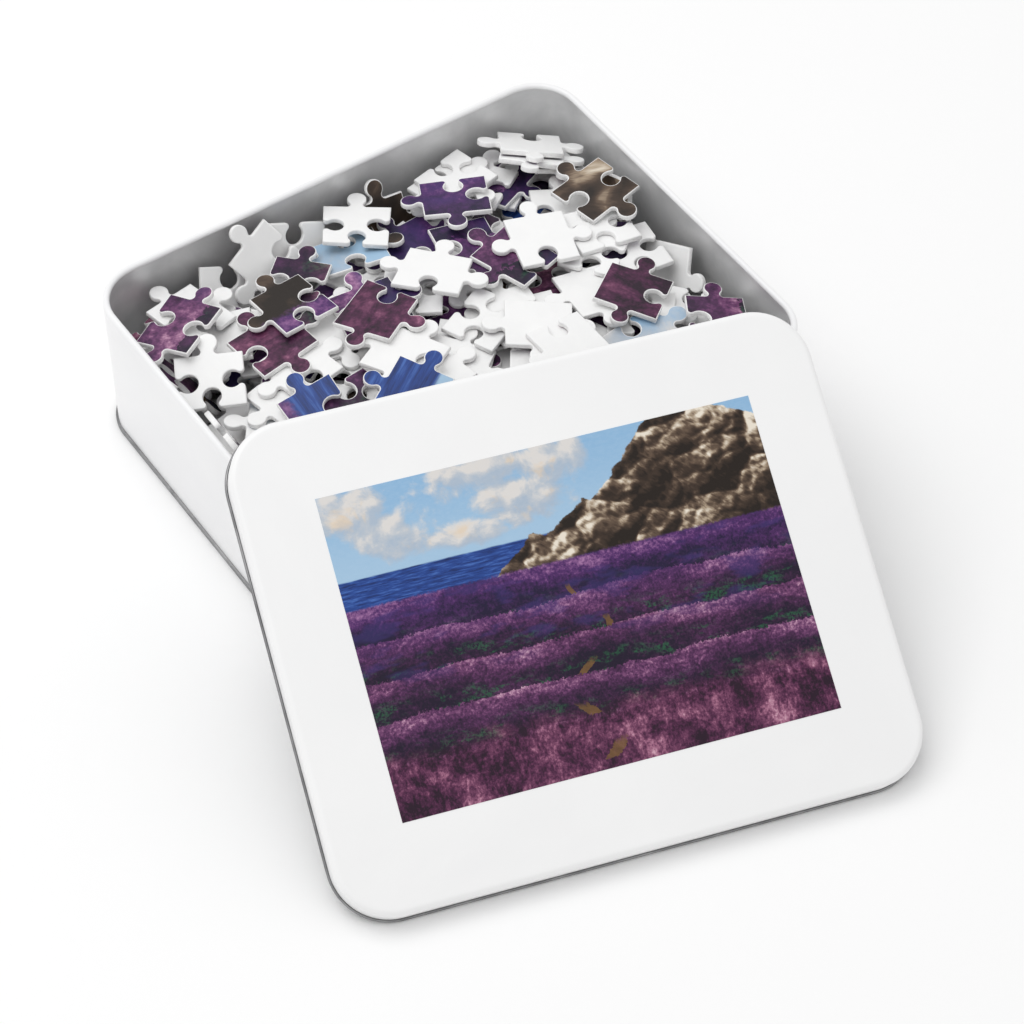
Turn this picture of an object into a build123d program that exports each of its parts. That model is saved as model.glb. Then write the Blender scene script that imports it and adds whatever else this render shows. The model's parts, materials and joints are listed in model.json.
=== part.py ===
from build123d import *
import math
import os
import random

import numpy as np
from scipy.spatial import ConvexHull

# A jigsaw puzzle in a tin: an open tin heaped with loose pieces, its lid leaning on the near rim.
# Millimetres. The origin is the middle of the tin's foot, +X along its long side, +Z up.

# tin
tin_length = 195.0  # over the walls
tin_width = 160.0
tin_height = 60.6
tin_corner = 18.0  # outside
sheet = 0.3  # tinplate
rim_roll = 2.4  # outer diameter of the rim, rolled inwards
roll_turn = 285.0  # degrees the rolled sheet turns

# bottom panel and its folded seam
seam_height = 1.8
seam_width = 1.6
seam_proud = 0.9  # how far the seam stands out from the wall
seam_groove = 1.0  # how deep the wall's foot sits in the seam
seam_fit = 0.02  # each side of the wall's foot
seam_round = 0.3
panel_lift = 0.7  # the panel's underside above the table
panel_border = 7.0  # low band round the panel's raised middle

# lid
lid_play = 0.9  # lid skirt to tin wall, each side, when closed
lid_depth = 10.4
lid_edge_radius = 2.2
hem_roll = 1.2  # outer diameter of the hem, rolled outwards
lid_yaw = -16.8  # degrees, turned on the table against the tin
lid_foot_x = -50.7  # middle of the resting edge
lid_foot_gap = 105.7  # tin's near side to the middle of the resting edge
lean_gap = 0.15  # lid to rim where it leans

# printed picture on the lid
print_length = 147.0
print_width = 106.7
print_film = 0.1

# puzzle pieces
piece_width = 20.8
piece_height = 23.5
card = 2.0
knob_share = 0.163  # knob's radius, as a share of the piece's shorter side
knob_lift = 1.0  # from the cut line to the knob's nearest point on a straight cut
neck_radius = 1.3
knob_size_spread = 0.05  # share, either way
knob_place_spread = 0.03  # share of the side, either way
corner_spread = 0.7

# heap
heap_seed = 11
picture_ratio = 1.38
loose_packing = 0.27  # share of the heap that is card
heap_headroom = 9.0  # rim to the heap's mean top
wall_gap = 0.8  # piece to the rolled rim, seen from above
stack_gap = 0.12  # between pieces that lie on each other
steepest_rest = 27.0  # degrees
places_tried = 20
rim_clear = 2.0  # highest piece under the rim, where there is a choice
rim_cost = 10.0  # height that a piece gives up to stay under that, per millimetre above it
tilt_cost = 5.0  # height that a piece gives up to lie flatter, per unit of slope
crown = 5.0  # the heap's middle above its edges
cell = 0.6  # of the height map
leaning_count = 9
leaning_from = 0.5  # share of the pieces that lie below the first leaning one
leaning_to = 0.82  # and below the last
leaning_angles = (50.0, 74.0)
leaning_walls = [(0, 1, 0), (1, 0, 0), (0, 1, 0), (-1, 0, 0)]
leaning_spread = 0.75  # share of the wall, either way from its middle
layer_count = 18
top_piece_count = 14
top_piece_clear = 4.0  # from the lid's outline, seen from above

# sizes that follow
knob_radius = knob_share * min(piece_width, piece_height)
knob_reach = knob_radius + knob_lift  # knob's centre from the cut line
roll_centre = rim_roll / 2  # below the rim's top, and in from the wall's outside
inside_length = tin_length - 2 * sheet  # between the walls
inside_width = tin_width - 2 * sheet
inside_corner = tin_corner - sheet
mouth_length = tin_length - 2 * rim_roll  # inside the rolled rim
mouth_width = tin_width - 2 * rim_roll
mouth_corner = tin_corner - rim_roll
wall_foot = seam_height - seam_groove
floor_top = panel_lift + 2 * sheet
lid_length = tin_length + 2 * (lid_play + sheet)
lid_width = tin_width + 2 * (lid_play + sheet)
lid_corner = tin_corner + lid_play + sheet
hem_middle = lid_width / 2 - sheet + hem_roll / 2  # hem's centre from the lid's middle, at its near side

os.makedirs("parts", exist_ok=True)


def rounded_path(plane, length, width, corner):
    """The outline of a rounded rectangle, starting in the middle of its near side."""
    x, y = length / 2, width / 2
    with BuildLine(plane) as path:
        Line((0, -y), (x - corner, -y))
        RadiusArc((x - corner, -y), (x, corner - y), -corner)
        Line((x, corner - y), (x, y - corner))
        RadiusArc((x, y - corner), (x - corner, y), -corner)
        Line((x - corner, y), (corner - x, y))
        RadiusArc((corner - x, y), (-x, y - corner), -corner)
        Line((-x, y - corner), (-x, corner - y))
        RadiusArc((-x, corner - y), (corner - x, -y), -corner)
        Line((corner - x, -y), (0, -y))
    return path.line


def side_section(plane, distance):
    """The upright plane across the near side: local x outwards, local y up."""
    near = plane.from_local_coords((0, -distance, 0))
    return Plane(origin=near, x_dir=-plane.y_dir, z_dir=-plane.x_dir)


# tin body: one sheet, straight up and rolled inwards round the rim
with BuildPart() as tin_body:
    with BuildSketch(side_section(Plane.XY, inside_width / 2)):
        with BuildLine():
            roll_start = tin_height - roll_centre
            Line((sheet / 2, wall_foot), (sheet / 2, roll_start))
            CenterArc((sheet - roll_centre, roll_start), roll_centre - sheet / 2, 0, roll_turn)
        trace(line_width=sheet)
    sweep(path=rounded_path(Plane.XY, inside_length, inside_width, inside_corner))
tin_body.part.label = "tin_body"
export_step(tin_body.part, "parts/tin_body.step")

# bottom panel: a folded seam round the foot, and a panel with a raised middle
with BuildPart() as tin_base:
    with BuildSketch(side_section(Plane.XY, inside_width / 2)):
        with Locations((sheet + seam_proud - seam_width / 2, seam_height / 2)):
            RectangleRounded(seam_width, seam_height, seam_round)
        with Locations((sheet / 2, seam_height)):
            Rectangle(sheet + 2 * seam_fit, 2 * seam_groove, mode=Mode.SUBTRACT)
    sweep(path=rounded_path(Plane.XY, inside_length, inside_width, inside_corner))
    with BuildSketch(Plane.XY.offset(panel_lift)):
        band = 2 * panel_border
        RectangleRounded(inside_length, inside_width, inside_corner)
        RectangleRounded(
            inside_length - band, inside_width - band, inside_corner - panel_border, mode=Mode.SUBTRACT
        )
    extrude(amount=sheet)
    with BuildSketch(Plane.XY.offset(panel_lift + sheet)):
        band = 2 * (panel_border - sheet)
        RectangleRounded(inside_length - band, inside_width - band, inside_corner - band / 2)
    extrude(amount=sheet)
tin_base.part.label = "tin_base"
export_step(tin_base.part, "parts/tin_base.step")


def lean_of_lid(tilt):
    """(the lid's top plane at this tilt, how far its underside then clears the rim's roll)."""
    yaw, tilt = math.radians(lid_yaw), math.radians(tilt)
    along = Vector(math.cos(yaw), math.sin(yaw), 0)
    uphill = Vector(-math.sin(yaw), math.cos(yaw), 0)
    slope = uphill * math.cos(tilt) + Vector(0, 0, math.sin(tilt))
    up = Vector(0, 0, math.cos(tilt)) - uphill * math.sin(tilt)
    hem = hem_roll / 2
    foot = Vector(lid_foot_x, -tin_width / 2 - lid_foot_gap, hem)
    centre = foot + slope * hem_middle + up * (lid_depth - hem)
    corner_middle = Vector(
        -math.copysign(tin_length / 2 - tin_corner, uphill.X),
        -math.copysign(tin_width / 2 - tin_corner, uphill.Y),
        tin_height - roll_centre,
    )
    nearest = corner_middle - uphill * (tin_corner - roll_centre)
    clear = (centre - nearest).dot(up) - sheet - roll_centre
    return Plane(origin=centre, x_dir=along, z_dir=up), clear


# the tilt at which the lid, its lower hem on the table, lies on the rim
low_tilt, high_tilt = 5.0, 60.0
for _ in range(50):
    lid_tilt = (low_tilt + high_tilt) / 2
    lid_plane, lid_clear = lean_of_lid(lid_tilt)
    if lid_clear > lean_gap:
        high_tilt = lid_tilt
    else:
        low_tilt = lid_tilt
hinge_line = lid_plane.from_local_coords((0, -hem_middle, hem_roll / 2 - lid_depth))

# lid: flat top, rounded edge, skirt and a small hem rolled outwards
with BuildPart() as lid_shell:
    with BuildSketch(side_section(lid_plane, lid_width / 2)):
        with BuildLine():
            bend = lid_edge_radius - sheet / 2
            hem_bend = (hem_roll - sheet) / 2
            hem_level = hem_roll / 2 - lid_depth
            CenterArc((-lid_edge_radius, -lid_edge_radius), bend, 90, -90)
            Line((-sheet / 2, -lid_edge_radius), (-sheet / 2, hem_level))
            CenterArc((-sheet / 2 + hem_bend, hem_level), hem_bend, 180, roll_turn)
        trace(line_width=sheet)
    sweep(path=rounded_path(lid_plane, lid_length, lid_width, lid_corner))
    with BuildSketch(lid_plane):
        bent = 2 * lid_edge_radius
        RectangleRounded(lid_length - bent, lid_width - bent, lid_corner - lid_edge_radius)
    extrude(amount=-sheet)
lid_shell.part.label = "lid_shell"
export_step(lid_shell.part, "parts/lid_shell.step")

with BuildPart() as lid_print:
    with BuildSketch(lid_plane):
        Rectangle(print_length, print_width)
    extrude(amount=print_film)
lid_print.part.label = "lid_print"
export_step(lid_print.part, "parts/lid_print.step")


# puzzle: how many pieces fill the tin to its heap, laid out in rows and columns
heap_depth = tin_height - heap_headroom - floor_top
piece_volume = piece_width * piece_height * card
pieces_wanted = mouth_length * mouth_width * heap_depth * loose_packing / piece_volume
columns = round(math.sqrt(pieces_wanted * picture_ratio * piece_height / piece_width))
rows = round(pieces_wanted / columns)

draw = random.Random(heap_seed)

# how far the lid reaches over the tin, uphill along its slope
uphill = np.array([-math.sin(math.radians(lid_yaw)), math.cos(math.radians(lid_yaw))])
far_edge = [lid_plane.from_local_coords((0, lid_width / 2, z)) for z in (0, -lid_depth)]
lid_reach = max(point.X * uphill[0] + point.Y * uphill[1] for point in far_edge)


def cut_corner(column, row):
    """A corner of the cutting grid, moved a little except across the picture's edge."""
    dx = draw.uniform(-corner_spread, corner_spread) if 0 < column < columns else 0
    dy = draw.uniform(-corner_spread, corner_spread) if 0 < row < rows else 0
    return complex(column * piece_width + dx, row * piece_height + dy)


def cut_side(start, end, is_border):
    """One cut from corner to corner: straight on the border, else with a knob to one side."""
    if is_border:
        return [(start, end)]
    along = (end - start) / abs(end - start)
    side = 1j * along * draw.choice((-1, 1))
    size = 1 + draw.uniform(-knob_size_spread, knob_size_spread)
    place = (0.5 + draw.uniform(-knob_place_spread, knob_place_spread)) * abs(end - start)
    knob, reach, neck = knob_radius * size, knob_reach * size, neck_radius * size
    knob_centre = start + along * place + side * reach
    half_foot = math.sqrt((knob + neck) ** 2 - (reach - neck) ** 2)
    runs = []
    for way in (-1, 1):
        foot = start + along * (place + way * half_foot)
        neck_centre = foot + side * neck
        towards_knob = (knob_centre - neck_centre) / abs(knob_centre - neck_centre)
        meeting = neck_centre + towards_knob * neck
        halfway = (towards_knob - side) / abs(towards_knob - side)
        runs.append((foot, neck_centre + halfway * neck, meeting))
    (foot_a, neck_a, meet_a), (foot_b, neck_b, meet_b) = runs
    return [
        (start, foot_a),
        (foot_a, neck_a, meet_a),
        (meet_a, knob_centre + side * knob, meet_b),
        (meet_b, neck_b, foot_b),
        (foot_b, end),
    ]


def backwards(side):
    return [run[::-1] for run in reversed(side)]


corners = {(c, r): cut_corner(c, r) for c in range(columns + 1) for r in range(rows + 1)}
cuts_across = {
    (c, r): cut_side(corners[c, r], corners[c + 1, r], r in (0, rows))
    for c in range(columns)
    for r in range(rows + 1)
}
cuts_up = {
    (c, r): cut_side(corners[c, r], corners[c, r + 1], c in (0, columns))
    for c in range(columns + 1)
    for r in range(rows)
}


def outline_of(column, row):
    """A piece's runs of line and arc, anticlockwise, about the middle of its cell."""
    middle = complex((column + 0.5) * piece_width, (row + 0.5) * piece_height)
    runs = (
        cuts_across[column, row]
        + cuts_up[column + 1, row]
        + backwards(cuts_across[column, row + 1])
        + backwards(cuts_up[column, row])
    )
    return [tuple(point - middle for point in run) for run in runs]


def points_along(run, step):
    """Points on a run from its start to just before its end."""
    if len(run) == 2:
        start, end = run
        count = max(1, math.ceil(abs(end - start) / step))
        return [start + (end - start) * k / count for k in range(count)]
    start, halfway, end = run
    # the centre of the circle through three points
    p, q = halfway - start, end - start
    centre = start + (abs(p) ** 2 * q - abs(q) ** 2 * p) / (p.conjugate() * q - p * q.conjugate())
    first, second = start - centre, halfway - centre
    half_turn = math.atan2((second / first).imag, (second / first).real)
    count = max(2, math.ceil(2 * abs(half_turn * first) / step))
    return [centre + first * complex(math.cos(a), math.sin(a)) for a in
            (2 * half_turn * k / count for k in range(count))]


def spots_of(outline):
    """Points spread over a piece's front and back, a height-map cell apart, with z from the front."""
    rim = np.array([p for run in outline for p in points_along(run, cell)])
    reach_x, reach_y = np.abs(rim.real).max(), np.abs(rim.imag).max()
    x, y = np.meshgrid(np.arange(-reach_x, reach_x, cell), np.arange(-reach_y, reach_y, cell))
    x, y = x.ravel()[:, None], y.ravel()[:, None]
    after = np.roll(rim, -1)
    crosses = (rim.imag > y) != (after.imag > y)
    rise = np.where(crosses, after.imag - rim.imag, 1.0)
    at = rim.real + (y - rim.imag) * (after.real - rim.real) / rise
    inside = (crosses & (x < at)).sum(axis=1) % 2 == 1
    flat = np.vstack([np.hstack([x, y])[inside], np.column_stack([rim.real, rim.imag])])
    faces = [np.column_stack([flat, np.full(len(flat), z)]) for z in (0.0, -card)]
    return np.vstack(faces)


# the heap's height map, over the tin's mouth
map_size = (math.ceil(mouth_length / cell) + 3, math.ceil(mouth_width / cell) + 3)
heights = np.full(map_size, floor_top)
owner = np.full(map_size, -1)
neighbours = [(i, j) for i in (-1, 0, 1) for j in (-1, 0, 1)]


def cells_under(points):
    i = np.floor((points[:, 0] + mouth_length / 2) / cell).astype(int) + 1
    j = np.floor((points[:, 1] + mouth_width / 2) / cell).astype(int) + 1
    return np.clip(i, 1, map_size[0] - 2), np.clip(j, 1, map_size[1] - 2)


def axes_for(up, turn, face_up):
    """A piece's x, y, z axes as rows: its upper side faces up, turned by turn."""
    z = up if face_up else -up
    x = np.array([math.cos(turn), math.sin(turn), 0.0])
    x = x - z * (x @ z)
    x = x / np.linalg.norm(x)
    return np.array([x, np.cross(z, x), z])


def pushed_inside(points):
    """The move that brings points inside the rolled rim."""
    move = np.zeros(2)
    half = np.array([mouth_length, mouth_width]) / 2 - wall_gap
    radius = mouth_corner - wall_gap
    for _ in range(40):
        at = points[:, :2] + move
        move = move - np.clip(at.max(axis=0) - half, 0, None) + np.clip(-half - at.min(axis=0), 0, None)
        at = points[:, :2] + move
        past = np.clip(np.abs(at) - (half - radius), 0, None)
        over = np.hypot(*past.T) - radius
        worst = int(over.argmax())
        if over[worst] <= 1e-6 or not past[worst].all():
            break
        move = move - np.sign(at[worst]) * past[worst] / np.hypot(*past[worst]) * (over[worst] + 0.01)
    return move


def dropped(spots, axes, x, y):
    """Where a piece held at these axes comes down on the heap: its origin."""
    points = spots @ axes
    x, y = pushed_inside(points + (x, y, 0)) + (x, y)
    i, j = cells_under(points + (x, y, 0))
    return np.array([x, y, (heights[i, j] - points[:, 2]).max() + stack_gap])


def resting_normal(spots, turn, face_up, x, y):
    """The normal of the plane that carries a piece on the three points around its middle."""
    level = spots[: len(spots) // 2] @ axes_for(np.array([0.0, 0.0, 1.0]), turn, face_up)
    x, y = pushed_inside(level + (x, y, 0)) + (x, y)
    points = level + (x, y, 0)
    points[:, 2] = heights[cells_under(points)]
    below = [x, y, points[:, 2].min() - tin_height]
    sides = ConvexHull(np.vstack([points, below])).equations
    sides = sides[sides[:, 2] > 1e-6]
    level_at_middle = -(sides[:, 0] * x + sides[:, 1] * y + sides[:, 3]) / sides[:, 2]
    return sides[level_at_middle.argmin(), :3]


def lay_piece(number, spots, axes, origin):
    """Adds a piece to the height map."""
    points = spots @ axes + origin
    i, j = cells_under(points)
    for di, dj in neighbours:
        np.maximum.at(heights, (i + di, j + dj), points[:, 2])
        owner[i + di, j + dj] = number


def is_free_place(points):
    """Is this place clear of the other top pieces and of the lid above?"""
    covers_top_piece = (owner[cells_under(points)] >= first_top).any()
    return not covers_top_piece and (points[:, :2] @ uphill).min() > lid_reach + top_piece_clear


def place_flat(spots, face_up, is_top):
    """The best of a few random places for a piece that falls on the heap. A top piece covers no other."""
    best = None
    limit = math.cos(math.radians(steepest_rest))
    tries = 0
    while tries < places_tried or best is None:
        tries += 1
        x = draw.uniform(-mouth_length, mouth_length) / 2
        y = draw.uniform(-mouth_width, mouth_width) / 2
        turn = draw.uniform(0, 2 * math.pi)
        up = resting_normal(spots, turn, face_up, x, y)
        if up[2] < limit:
            level = math.hypot(up[0], up[1])
            up = np.array([*(up[:2] / level * math.sqrt(1 - limit**2)), limit])
        axes = axes_for(up, turn, face_up)
        origin = dropped(spots, axes, x, y)
        if is_top and not is_free_place(spots @ axes + origin):
            continue
        hump = 1 - max(abs(2 * origin[0] / mouth_length), abs(2 * origin[1] / mouth_width)) ** 2
        slope = math.hypot(axes[2, 0], axes[2, 1])
        top = (spots @ axes[:, 2]).max() + origin[2]
        above_rim = max(0, top - tin_height + rim_clear)
        height = origin[2] - crown * hump + tilt_cost * slope + rim_cost * above_rim
        if best is None or height < best[0]:
            best = (height, axes, origin)
    return best[1:]


def place_leaning(spots, face_up, which):
    """The lowest of a few places against a wall: the far one, the right or the left."""
    towards_wall = np.array(leaning_walls[which % len(leaning_walls)], float)
    angle = math.radians(draw.uniform(*leaning_angles))
    up = np.array([0, 0, math.cos(angle)]) - towards_wall * math.sin(angle)
    axes = axes_for(up, draw.uniform(0, 2 * math.pi), face_up)
    half = np.array([mouth_length, mouth_width]) / 2
    tries = []
    for _ in range(places_tried):
        along = np.abs(towards_wall[1::-1]) * draw.uniform(-leaning_spread, leaning_spread)
        tries.append(dropped(spots, axes, *((towards_wall[:2] + along) * half)))
    return axes, min(tries, key=lambda origin: origin[2])


cells = [(c, r) for c in range(columns) for r in range(rows)]
draw.shuffle(cells)
lean_every = round(len(cells) * (leaning_to - leaning_from) / leaning_count)
first_leaning = round(len(cells) * leaning_from)
leaning_numbers = [first_leaning + lean_every * k for k in range(leaning_count)]
first_top = len(cells) - top_piece_count
laid = []
for number, (column, row) in enumerate(cells):
    outline = outline_of(column, row)
    spots = spots_of(outline)
    face_up = draw.random() < 0.5
    if number in leaning_numbers:
        axes, origin = place_leaning(spots, face_up, leaning_numbers.index(number))
    else:
        axes, origin = place_flat(spots, face_up, number >= first_top)
    lay_piece(number, spots, axes, origin)
    laid.append((outline, axes, origin))


def piece_solid(outline, axes, origin):
    """A piece cut from card lying flat, then laid in the heap with its printed front on its plane."""
    with BuildPart() as piece:
        with BuildSketch(Plane.XY):
            with BuildLine():
                for run in outline:
                    ends = [(point.real, point.imag) for point in run]
                    if len(ends) == 2:
                        Line(*ends)
                    else:
                        ThreePointArc(*ends)
            make_face()
        extrude(amount=-card)
    laid_plane = Plane(origin=tuple(origin), x_dir=tuple(axes[0]), z_dir=tuple(axes[2]))
    return piece.part.moved(laid_plane.location)


# the top pieces: nothing lies on them and the lid isn't over them, so each lifts straight out
for place, (outline, axes, origin) in enumerate(laid[first_top:], start=1):
    top_piece = piece_solid(outline, axes, origin)
    top_piece.label = f"top_piece_{place:02d}"
    export_step(top_piece, f"parts/{top_piece.label}.step")

# the rest of the heap, in layers from the bottom up
layer_start = [round(first_top * layer / layer_count) for layer in range(layer_count + 1)]
for layer in range(layer_count):
    members = laid[layer_start[layer] : layer_start[layer + 1]]
    heap_layer = Compound([piece_solid(*member).solid() for member in members])
    heap_layer.label = f"heap_layer_{layer + 1:02d}"
    export_step(heap_layer, f"parts/{heap_layer.label}.step")

print(f"puzzle of {columns} x {rows} pieces")
print(f"heap top: mean {heights.mean():.1f}, highest {heights.max():.1f} mm")
print(f"lid leans at {lid_tilt:.2f} degrees, turning about {hinge_line}")
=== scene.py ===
import json
import math
import random

import bmesh
import bpy
import numpy as np
from mathutils import Matrix, Vector


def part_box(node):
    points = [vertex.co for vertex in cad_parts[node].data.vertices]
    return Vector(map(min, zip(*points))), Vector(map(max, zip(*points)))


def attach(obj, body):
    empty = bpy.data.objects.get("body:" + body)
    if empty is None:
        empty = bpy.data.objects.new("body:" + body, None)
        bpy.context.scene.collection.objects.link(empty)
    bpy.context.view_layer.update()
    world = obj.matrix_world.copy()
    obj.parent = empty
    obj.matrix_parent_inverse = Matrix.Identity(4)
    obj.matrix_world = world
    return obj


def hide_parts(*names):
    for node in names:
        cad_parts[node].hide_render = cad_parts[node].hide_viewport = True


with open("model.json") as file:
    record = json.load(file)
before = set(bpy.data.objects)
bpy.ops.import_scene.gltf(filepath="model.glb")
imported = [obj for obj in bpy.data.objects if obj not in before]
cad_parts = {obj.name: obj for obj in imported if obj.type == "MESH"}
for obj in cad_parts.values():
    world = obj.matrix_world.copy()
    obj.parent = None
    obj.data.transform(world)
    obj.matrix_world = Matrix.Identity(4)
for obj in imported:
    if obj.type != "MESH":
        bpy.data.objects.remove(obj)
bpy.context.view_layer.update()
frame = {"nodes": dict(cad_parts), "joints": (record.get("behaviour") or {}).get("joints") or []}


class Tree:
    # adds nodes to one node tree; an input may be a number, a colour or another node's socket
    def __init__(self, tree):
        self.tree = tree

    def add(self, kind, inputs=(), **settings):
        node = self.tree.nodes.new(kind)
        for name, value in settings.items():
            setattr(node, name, value)
        for socket, value in dict(inputs).items():
            self.plug(node.inputs[socket], value)
        return node

    def plug(self, socket, value):
        if isinstance(value, bpy.types.NodeSocket):
            self.tree.links.new(value, socket)
        else:
            socket.default_value = value

    def calc(self, operation, *values, clamp=False):
        node = self.add("ShaderNodeMath", operation=operation, use_clamp=clamp)
        for socket, value in zip(node.inputs, values):
            self.plug(socket, value)
        return node.outputs[0]

    def total(self, *values):
        result = values[0]
        for value in values[1:]:
            result = self.calc("ADD", result, value)
        return result

    def shift(self, place, by):
        return self.add("ShaderNodeVectorMath", {0: place, 1: by}, operation="ADD").outputs[0]

    def stretch(self, place, by):
        return self.add("ShaderNodeVectorMath", {0: place, 1: by}, operation="MULTIPLY").outputs[0]

    def noise(self, place, scale, detail=3.0, roughness=0.55, distortion=0.0, kind="FBM"):
        node = self.add("ShaderNodeTexNoise", noise_type=kind, normalize=True)
        values = {"Vector": place, "Scale": scale, "Detail": detail, "Roughness": roughness,
                  "Distortion": distortion}
        for name, value in values.items():
            self.plug(node.inputs[name], value)
        return node.outputs[0]

    def fade(self, value, low, high, start=0.0, end=1.0):
        node = self.add("ShaderNodeMapRange", interpolation_type="SMOOTHSTEP")
        for socket, given in zip(node.inputs, (value, low, high, start, end)):
            self.plug(socket, given)
        return node.outputs[0]

    def mix(self, share, first, second, blend="MIX"):
        node = self.add("ShaderNodeMix", data_type="RGBA", blend_type=blend)
        self.plug(node.inputs[0], share)
        self.plug(node.inputs[6], first)
        self.plug(node.inputs[7], second)
        return node.outputs[2]

    def ramp(self, value, stops):
        node = self.add("ShaderNodeValToRGB", {0: value})
        stopList = node.color_ramp.elements
        for element, (place, _) in zip(stopList, stops):
            element.position = place
        for place, _ in stops[2:]:
            stopList.new(place)
        for element, (place, colour) in zip(stopList, stops):
            element.position = place
            element.color = colour
        return node.outputs[0]


def newGroup(name, inputs, outputs):
    group = bpy.data.node_groups.new(name, "ShaderNodeTree")
    kinds = {"value": "NodeSocketFloat", "colour": "NodeSocketColor", "vector": "NodeSocketVector"}
    for label, (kind, default) in inputs.items():
        socket = group.interface.new_socket(label, in_out="INPUT", socket_type=kinds[kind])
        if default is not None:
            socket.default_value = default
    for label, kind in outputs.items():
        group.interface.new_socket(label, in_out="OUTPUT", socket_type=kinds[kind])
    tree = Tree(group)
    return group, tree, tree.add("NodeGroupInput").outputs, tree.add("NodeGroupOutput").inputs


def newMaterial(name, **settings):
    material = bpy.data.materials.new(name)
    material.use_nodes = True
    shader = material.node_tree.nodes["Principled BSDF"]
    for label, value in settings.items():
        shader.inputs[label].default_value = value
    return material, Tree(material.node_tree), shader


def rgb(red, green, blue):
    return (red, green, blue, 1.0)


def makeGrainGroup():
    # tiny irregular bumps, and a slow drift between two shades
    group, tree, given, result = newGroup(
        "surfaceGrain",
        {"Place": ("vector", None), "Grain Size": ("value", 0.0004), "Drift Size": ("value", 0.03),
         "Light": ("colour", rgb(1, 1, 1)), "Dark": ("colour", rgb(0.9, 0.9, 0.9)),
         "Smooth": ("value", 0.3), "Rough": ("value", 0.4)},
        {"Colour": "colour", "Roughness": "value", "Height": "value"})
    finer = tree.calc("DIVIDE", 1.0, given["Grain Size"])
    wider = tree.calc("DIVIDE", 1.0, given["Drift Size"])
    grain = tree.noise(given["Place"], finer, 2.0, 0.6)
    drift = tree.noise(given["Place"], wider, 4.0, 0.6, 0.4)
    blotch = tree.fade(drift, 0.3, 0.7)
    tree.plug(result["Colour"], tree.mix(blotch, given["Light"], given["Dark"]))
    between = tree.calc("SUBTRACT", given["Rough"], given["Smooth"])
    tree.plug(result["Roughness"], tree.calc("MULTIPLY_ADD", between, drift, given["Smooth"]))
    tree.plug(result["Height"], tree.fade(grain, 0.25, 0.75))
    return group


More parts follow.
